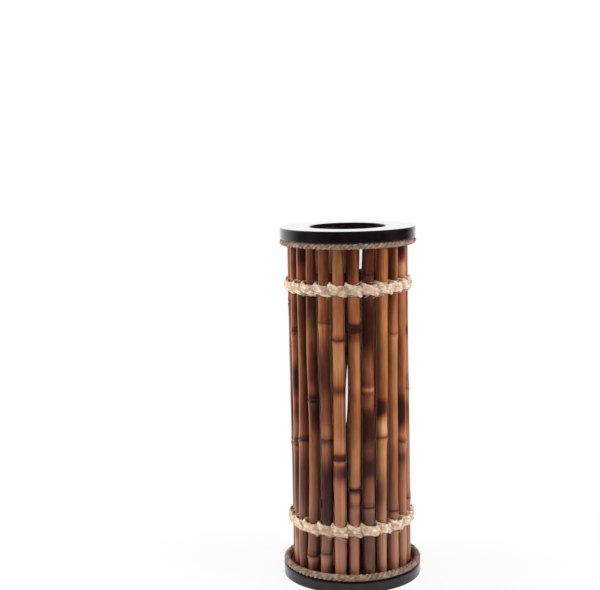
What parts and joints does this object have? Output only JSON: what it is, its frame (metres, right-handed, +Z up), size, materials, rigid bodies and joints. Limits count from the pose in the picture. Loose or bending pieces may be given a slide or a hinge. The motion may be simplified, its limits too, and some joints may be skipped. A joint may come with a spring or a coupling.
{
  "type": "bamboo vase",
  "caption": "Tall round vase: a ring of torched canes between two black discs, bound by twined sisal bands and rope trims, around a clear lift-out liner for water and stems.",
  "frame": {"origin": "centre of the base disc's underside, on the surface that the vase stands on", "axes": "+Z up along the vase's axis; the front, as pictured, faces -Y, and +X is to its right"},
  "size_m": [0.1574, 0.1574, 0.4],
  "materials": {
    "black_lacquer": "black gloss lacquer over turned board",
    "torched_cane": "flame-scorched bamboo under a thin clear varnish",
    "sisal_strand": "soft loosely laid sisal, flattened where it is twined",
    "jute_rope": "thin laid jute rope",
    "clear_glass": "clear blown glass with a fire-polished rim"
  },
  "bodies": {
    "vase": {"base_disc": "black_lacquer", "top_disc": "black_lacquer", "cane_01": "torched_cane", "cane_02": "torched_cane", "cane_03": "torched_cane", "cane_04": "torched_cane", "cane_05": "torched_cane", "cane_06": "torched_cane", "cane_07": "torched_cane", "cane_08": "torched_cane", "cane_09": "torched_cane", "cane_10": "torched_cane", "cane_11": "torched_cane", "cane_12": "torched_cane", "cane_13": "torched_cane", "cane_14": "torched_cane", "cane_15": "torched_cane", "cane_16": "torched_cane", "cane_17": "torched_cane", "cane_18": "torched_cane", "cane_19": "torched_cane", "cane_20": "torched_cane", "cane_21": "torched_cane", "cane_22": "torched_cane", "cane_23": "torched_cane", "lower_band_strand_1": "sisal_strand", "lower_band_strand_2": "sisal_strand", "upper_band_strand_1": "sisal_strand", "upper_band_strand_2": "sisal_strand", "base_rim_rope": "jute_rope", "top_rim_rope": "jute_rope"},
    "liner": {"glass_liner": "clear_glass"}
  },
  "joints": [
    {"name": "liner_lift", "type": "slide", "parent": "vase", "child": "liner", "axis": [0, 0, 1], "range_m": [0, 0.395]}
  ]
}
